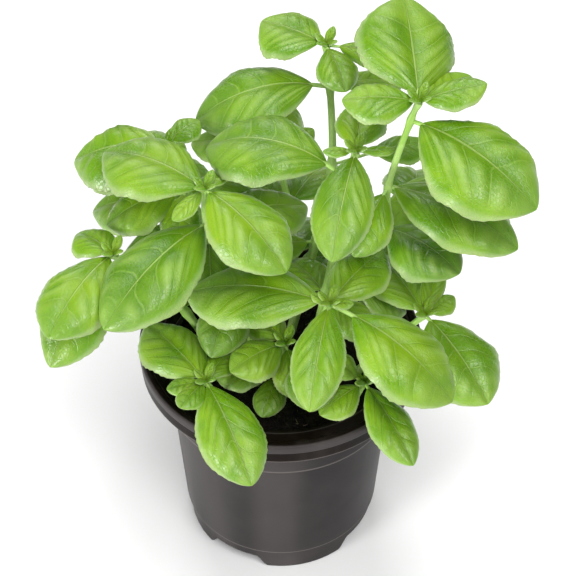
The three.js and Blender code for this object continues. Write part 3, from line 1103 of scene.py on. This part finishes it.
# %% The arch of a midrib
def midrib(along):
    """Place, right hand and upper side of the midrib. Below 0 it is the straight stalk."""
    heading, rise, droop, roll = (fact(name) for name in ("heading", "rise", "droop", "roll"))
    length = fact("length")
    on_blade = along.math("MAXIMUM", 0.0)
    on_stalk = along.math("MINIMUM", 0.0) * length
    slope = rise - droop * on_blade
    (rise_sine, rise_cosine), (slope_sine, slope_cosine), (north, east), (tilt, upright) = (
        (angle.math("SINE"), angle.math("COSINE")) for angle in (rise, slope, heading, roll))
    out = length * (rise_sine - slope_sine) / droop + on_stalk * rise_cosine
    up = length * (slope_cosine - rise_cosine) / droop + on_stalk * rise_sine
    start = Arrow(leafy, fact("start", "FLOAT_VECTOR").socket)
    place = start + arrow(leafy, out * east, out * north, up)
    flat = arrow(leafy, north, -east, 0)
    above = arrow(leafy, -slope_sine * east, -slope_sine * north, slope_cosine)
    return place, flat * upright + above * -tilt, above * upright + flat * tilt


print("midrib helper ready")

# %% The outline of a blade and its two skins
base_power = 0.8
tip_power = 0.68
widest = base_power / (base_power + tip_power)
oval_top = widest ** base_power * (1 - widest) ** tip_power


def half_width(along):
    inside = along.math("MAXIMUM", 0.0001).math("MINIMUM", 0.9999)
    return fact("width") * 0.5 * inside ** base_power * (1 - inside) ** tip_power / oval_top


grid, far, wide = flat_grid("Rows", "Columns")
grid = store(grid, "along", 0.5 - (far * math.pi).math("COSINE") * 0.5)
grid = store(grid, "across", (wide * (-math.pi / 2)).math("SINE"))
upper = store(grid, "under", 0.0)
lower = store(result(leafy, "GeometryNodeFlipFaces", {"Mesh": grid}), "under", 1.0)
both = together(leafy, upper, lower)
print("a blade is widest at", round(widest, 2), "of its length")

# %% The skin of a blade
along, across, under = fact("along"), fact("across"), fact("under")
place, right, face = midrib(along)
half = half_width(along)
spread = abs(across)
cup = size("Cup")
aside = half * (cup * across).math("SINE") / cup
down = half * (1 - (cup * across).math("COSINE")) / cup
vault = half * spread * (1 - spread) * size("Crest")
warp = cloudy(leafy, arrow(leafy, along * 1.7, across * 1.2, fact("chance") * 40), 1.0, 1.0) - 0.5
count = vein_count(along, across) + warp
puffed = (off_vein(count) * 2) ** 1.3 * has_veins(along, count) * (fact("chance") + 0.25)
puff = half * puffed * size("Puff") * spread.ramp(0, 0.3) * (1 - spread.ramp(0.7, 1))
turns = (along * 2.6 + fact("chance") * 5 + across.math("SIGN") * 0.2) * math.tau
wave = half * turns.math("SINE") * spread ** 3 * size("Wave") * along.ramp(0, 0.25)
lump = half * warp * size("Lump") * spread.ramp(0, 0.4)
rolled = half * spread.ramp(0.8, 1.05) * size("Rolled margin")
edge = (1 - spread ** 8).math("SQRT") * (1 - (along * 2 - 1) ** 24).math("SQRT")
thick = size("Blade thickness") * 0.5 * edge * (1 - under * 2)
lobes = 1 + (count * math.tau).math("COSINE") * spread ** 4 * -size("Scallop")
blade = moved(store(on_each_leaf(both), "warp", warp),
              place + right * (aside * lobes)
              + face * (vault - down - rolled + puff + wave + lump + thick))
print("blade takes", len(leafy.nodes), "nodes")

# %% The stalk and the rib under the blade
grid, far, wide = flat_grid("Rows", "Rib sides")
grid = store(grid, "along", far)
grid = store(grid, "across", wide)
grid = store(grid, "under", 1.0)
far, turn = fact("along"), fact("across") * math.pi
back = fact("stalk") / fact("length")
reached = far * (0.93 + back) - back
place, right, face = midrib(reached)
size_of_leaf = (fact("length") / (50 * mm)).math("MINIMUM", 1.1) ** 0.5
ends = (1 - (far * 2 - 1) ** 30).math("MAXIMUM", 0.0).math("SQRT")
radius = size("Rib radius") * size_of_leaf * (1 - reached.ramp(-0.1, 1) * 0.8) * ends
sunk = radius * reached.ramp(-0.02, 0.08) * 0.85
rib = moved(on_each_leaf(grid), place + right * (radius * turn.math("COSINE"))
            + face * (radius * turn.math("SINE") - sunk))
rib = store(store(rib, "woody", 1.0), "along", reached)
print("with its rib", len(leafy.nodes), "nodes")

# %% The square stem, and all of it joined
seam = 0.004 * mm
path = result(leafy, "GeometryNodeMeshToCurve", {"Mesh": taken["Geometry"]})
path = result(leafy, "GeometryNodeSetCurveRadius", {"Curve": path, "Radius": fact("thickness")})
square = result(leafy, "GeometryNodeCurvePrimitiveQuadrilateral", {"Width": 1.8, "Height": 1.8})
soft_square = result(leafy, "GeometryNodeFilletCurve",
                     {"Curve": square, "Count": 3, "Radius": 0.5}, mode="POLY")
stem = result(leafy, "GeometryNodeCurveToMesh", {
    "Curve": path, "Profile Curve": soft_square, "Scale": fact("thickness"), "Fill Caps": True})
sewn = result(leafy, "GeometryNodeMergeByDistance", {
    "Geometry": together(leafy, store(stem, "woody", 1.0), rib, blade), "Distance": seam})
smooth = result(leafy, "GeometryNodeSetShadeSmooth", {"Geometry": sewn})
end(leafy, given, smooth, taken["Leaf material"], taken["Stem material"], "woody")
print("leafy stem tree has", len(leafy.nodes), "nodes")

# %% [markdown]
# ## Leaf skin
# A basil leaf is bright yellow green above and paler and duller below. Its midrib and side veins
# are pale lines in shallow grooves, and a net of tiny veins gives the skin a fine hammered
# look. The grooves beside the side veins are painted darker, a painted shade. The tops of the
# puffed skin are painted paler in patches, and the blade is painted paler towards its tip, both
# a painted sheen. The margin is paler, partly its own colour and partly a painted highlight.
# Light goes into the blade and comes out green, which a little subsurface scattering gives.
# Painted pictures of leaves could do all this, but a formula stays sharp at any distance,
# and here it's the one that puffed up the blade, so colour and form agree.

# %% Veins and margins as masks
leaf_skin, tree, shader, place = material(
    "basil_leaf", 0.42, Subsurface_Weight=0.3, Subsurface_Scale=2 * mm,
    Subsurface_Radius=(0.5, 1.0, 0.15), Specular_IOR_Level=0.42)


def painted(name):
    node = add(tree, "ShaderNodeAttribute", None, attribute_name=name)
    return Number(tree, node.outputs["Fac"])


along, across, under = painted("along"), painted("across"), painted("under")
young, luck = painted("young"), painted("chance")
spread = abs(across)
count = vein_count(along, across) + painted("warp")
off = off_vein(count)
inner = 1 - spread.ramp(0.6, 0.95)
veined = has_veins(along, count)
side_vein = (1 - off.ramp(0.015, 0.06)) * inner * veined
main_vein = 1 - (spread / (1.25 - along)).ramp(0.015, 0.036)
# Painted shade: the grooves beside the side veins are coloured darker for the shade in them. The
# same mask also deepens these grooves in the bump.
groove_and_painted_shade = (1 - off.ramp(0.0, 0.3)) * (1 - spread.ramp(0.5, 0.95)) * veined
# The margin is paler: partly the leaf's own colour and partly a painted highlight for its lit
# edge.
margin = spread.ramp(0.84, 0.97)
patches = cloudy(tree, place, 42.0, 1.0).ramp(0.35, 0.65)
# Painted sheen: pale patches on the tops of the puffed skin, for the shine of the lamps on them.
puff_painted_sheen = off.ramp(0.08, 0.5) * spread.ramp(0.08, 0.4) * inner * patches
net = add(tree, "ShaderNodeTexVoronoi", {"Vector": place, "Scale": 520.0},
          feature="DISTANCE_TO_EDGE")
net_line = 1 - Number(tree, net.outputs["Distance"]).ramp(0.0, 0.12)
print("leaf masks take", len(tree.nodes), "nodes")

# %% Leaf material
grown = drifting(tree, place, 45.0, (0.050, 0.150, 0.001), (0.116, 0.260, 0.002))
fresh = drifting(tree, place, 45.0, (0.120, 0.265, 0.003), (0.210, 0.362, 0.006))
age = (young + luck * 0.5 - 0.25).ramp(0.0, 1.1)
blended = mixed(tree, age, grown.outputs["Color"], fresh.outputs["Color"])
coloured = layered(tree, blended, [
    (groove_and_painted_shade * 0.18, (0.060, 0.150, 0.002)),
    (puff_painted_sheen * 0.55, (0.29, 0.43, 0.09)),
    # Painted sheen: the outer half of the blade grows paler towards the tip.
    (along.ramp(0.5, 1.0) * 0.33, (0.24, 0.38, 0.10)),
    (net_line * 0.06, (0.28, 0.44, 0.07)),
    (side_vein * 0.3, (0.28, 0.45, 0.07)),
    (main_vein * (0.85 - along * 0.45), (0.36, 0.53, 0.13)),
    (margin * 0.55, (0.38, 0.50, 0.23)),
    (under * 0.55, (0.32, 0.46, 0.17)),
])
worn = Number(tree, grown.outputs["Value"])
grooves = groove_and_painted_shade * 0.17 + side_vein * 0.24 + main_vein * 0.8 + net_line * 0.12
feed(tree, shader, Base_Color=coloured,
     Roughness=0.27 + worn * 0.12 + under * 0.2 + net_line * 0.08,
     Normal=pitted(tree, place, 700.0, 0.45 * mm, grooves * (under * 1.6 - 1)))
print("leaf material has", len(tree.nodes), "nodes")

# %% Stem material
stem_skin, tree, shader, place = material(
    "basil_stem", 0.45, Subsurface_Weight=0.2, Subsurface_Scale=2 * mm,
    Subsurface_Radius=(0.5, 1.0, 0.2))
pale = drifting(tree, place, 90.0, (0.290, 0.500, 0.085), (0.440, 0.660, 0.190))
stretched = result(tree, "ShaderNodeMapping", {"Vector": place, "Scale": (1, 1, 0.1)})
feed(tree, shader, Base_Color=pale.outputs["Color"],
     Normal=pitted(tree, stretched, 1500.0, 0.15 * mm, 0.0))
print("stem material has", len(tree.nodes), "nodes")

# %% Every stem grown
kept_facts = {"along", "across", "under", "young", "chance", "warp"}
total = 0
for name, (points, *rows) in shoots.items():
    piece = stem_object("basil_" + name.removesuffix("_stem"), points, rows)
    grow(piece, leafy, {"Leaf material": leaf_skin, "Stem material": stem_skin})
    for spare in [a.name for a in piece.data.attributes
                  if a.domain == "POINT" and not a.is_internal and not a.is_required
                  and a.name not in kept_facts]:
        piece.data.attributes.remove(piece.data.attributes[spare])
    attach(piece, "root")
    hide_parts(name)
    total += triangles(piece)
    print(piece.name, triangles(piece), "triangles")
print("all stems", total, "triangles")
